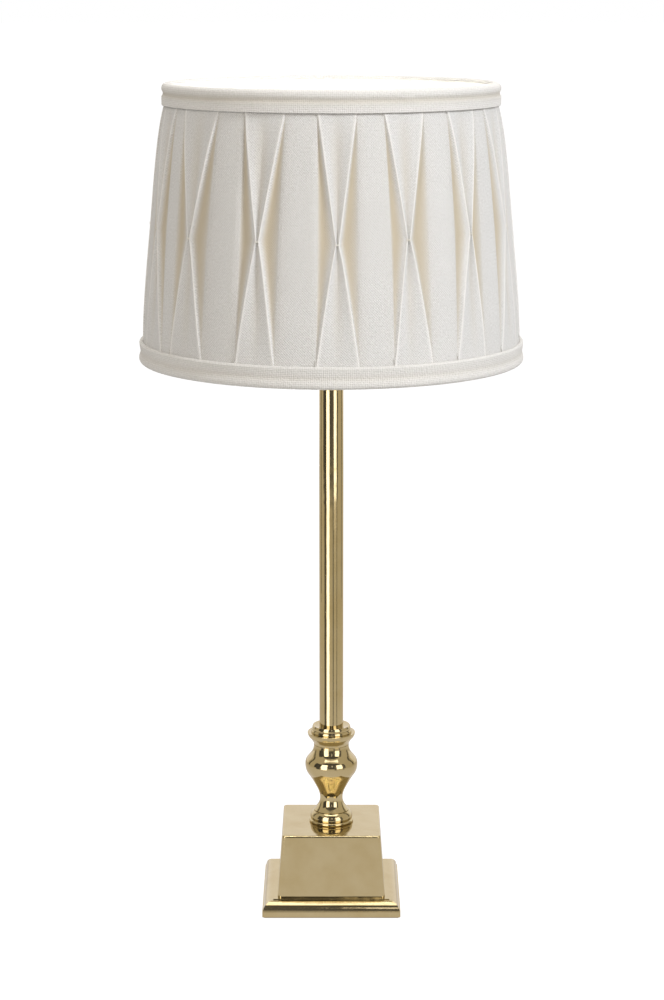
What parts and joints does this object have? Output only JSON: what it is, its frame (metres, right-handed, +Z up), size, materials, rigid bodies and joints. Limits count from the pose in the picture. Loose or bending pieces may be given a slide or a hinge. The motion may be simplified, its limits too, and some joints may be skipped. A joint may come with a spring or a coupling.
{
  "type": "candlestick table lamp",
  "caption": "Brass candlestick lamp: stepped square foot, turned baluster and straight stem carry a screw lampholder with a candle bulb and a lift-off pleated cloth shade.",
  "frame": {"origin": "centre of the foot's underside", "axes": "+Z up along the stem, -Y the front, the cord inlet and the switch face +Y"},
  "size_m": [0.25, 0.25, 0.5476],
  "materials": {
    "polished_brass": "polished",
    "contact_brass": "plain",
    "felt": "felt",
    "cast_iron": "as cast",
    "zinc_steel": "zinc plated",
    "moulding": "moulded",
    "white_wire": "powder coated",
    "styrene": "matt",
    "shade_cloth": "linen weave",
    "binding_cloth": "linen weave",
    "thread": "thread",
    "black_glass": "glassy",
    "bulb_cap": "satin",
    "clear_glass": "clear",
    "filament": "phosphor coat"
  },
  "bodies": {
    "stand": {"base_pad": "felt", "base_plinth": "polished_brass", "base_block": "polished_brass", "base_weight": "cast_iron", "cord_bushing": "polished_brass", "rod_washer": "zinc_steel", "rod_nut": "zinc_steel", "threaded_rod": "zinc_steel", "foot_bead": "polished_brass", "vase": "polished_brass", "neck_collar": "polished_brass", "stem_tube": "polished_brass", "stem_cap": "polished_brass", "holder_cap": "polished_brass", "holder_lock_screw": "zinc_steel", "holder_insert": "moulding", "terminal_screws": "contact_brass", "centre_contact": "contact_brass", "side_contact": "contact_brass", "screw_shell": "contact_brass", "shell_insulator": "moulding", "holder_sleeve": "polished_brass"},
    "switch": {"switch_spindle": "zinc_steel", "switch_cam": "moulding", "switch_knob": "polished_brass"},
    "seat_ring": {"shade_seat_ring": "polished_brass"},
    "shade": {"shade_fitter": "white_wire", "spider_arms": "white_wire", "bottom_wire": "white_wire", "top_wire": "white_wire", "shade_liner": "styrene", "shade_cover": "shade_cloth", "bottom_trim": "binding_cloth", "top_trim": "binding_cloth", "pinch_stitches": "thread"},
    "clamp_ring": {"shade_clamp_ring": "polished_brass"},
    "bulb_contact": {"bulb_tip": "contact_brass"},
    "bulb": {"bulb_insulator": "black_glass", "bulb_shell": "bulb_cap", "bulb_glass": "clear_glass", "bulb_stem": "clear_glass", "bulb_filament": "filament"}
  },
  "joints": [
    {"name": "bulb_lift", "type": "slide", "parent": "stand", "child": "bulb_contact", "axis": [0, 0, 1], "range_m": [0, 0.02]},
    {"name": "bulb_turn", "type": "hinge", "parent": "bulb_contact", "child": "bulb", "pos_m": [0, 0, 0.3835], "axis": [0, 0, 1], "range_deg": [0, 1980]},
    {"name": "shade_turn", "type": "hinge", "parent": "stand", "child": "seat_ring", "pos_m": [0, 0, 0.3946], "axis": [0, 0, 1], "range_deg": [-180, 180]},
    {"name": "shade_lift", "type": "slide", "parent": "seat_ring", "child": "shade", "axis": [0, 0, 1], "range_m": [0, 0.12]},
    {"name": "clamp_ring_lift", "type": "slide", "parent": "shade", "child": "clamp_ring", "axis": [0, 0, 1], "range_m": [0, 0.1]},
    {"name": "switch_turn", "type": "hinge", "parent": "stand", "child": "switch", "pos_m": [0, 0.019, 0.3672], "axis": [0, 1, 0], "continuous": true}
  ],
  "couplings": [
    {"joint": "bulb_lift", "follows": "bulb_turn", "m_per_rad": 0.0005775}
  ]
}
